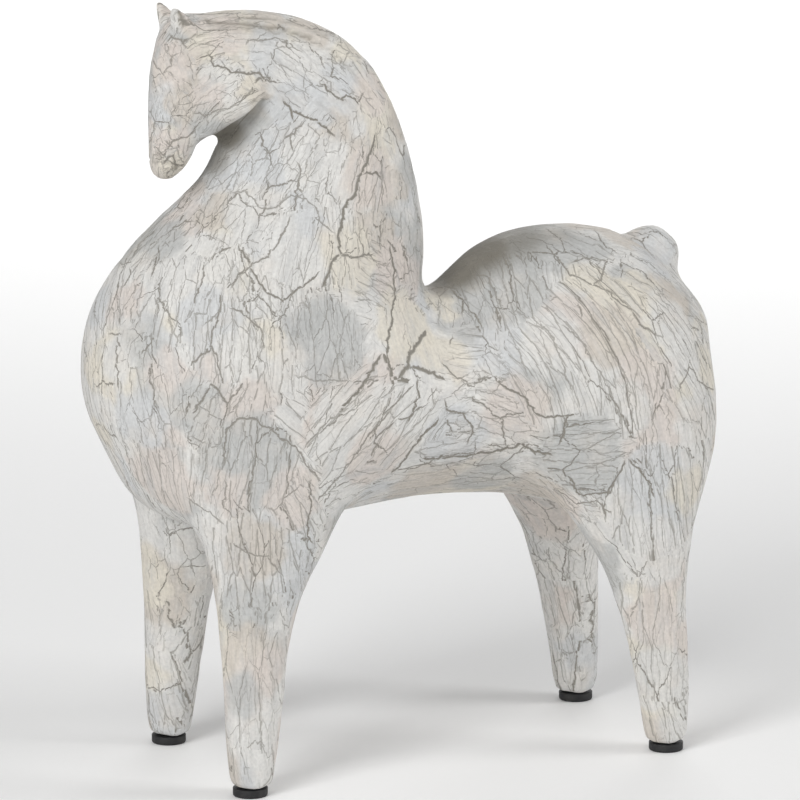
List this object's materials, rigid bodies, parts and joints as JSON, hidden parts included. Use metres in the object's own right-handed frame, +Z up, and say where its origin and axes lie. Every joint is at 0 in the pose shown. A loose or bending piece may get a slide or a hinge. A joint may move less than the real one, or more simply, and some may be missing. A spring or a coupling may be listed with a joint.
{
  "type": "horse statue",
  "caption": "Standing stylised horse with an arched neck, pricked ears and a docked tail, cast in one piece, crackle-painted off-white, on rubber foot pads.",
  "frame": {"origin": "on the surface the statue stands on, under the middle of its bounding box", "axes": "+Z up; the horse faces -X, its left side is at -Y; its two mirrored halves meet at Y = 0"},
  "size_m": [0.2574, 0.1118, 0.3],
  "materials": {
    "crackle_paint": "matt off-white paint, crackled, with blue-grey, pink-beige and cream patches",
    "pad_rubber": "matt black"
  },
  "bodies": {
    "root": {"horse_casting": "crackle_paint", "foot_pad_front_left": "pad_rubber", "foot_pad_front_right": "pad_rubber", "foot_pad_hind_left": "pad_rubber", "foot_pad_hind_right": "pad_rubber"}
  },
  "joints": []
}
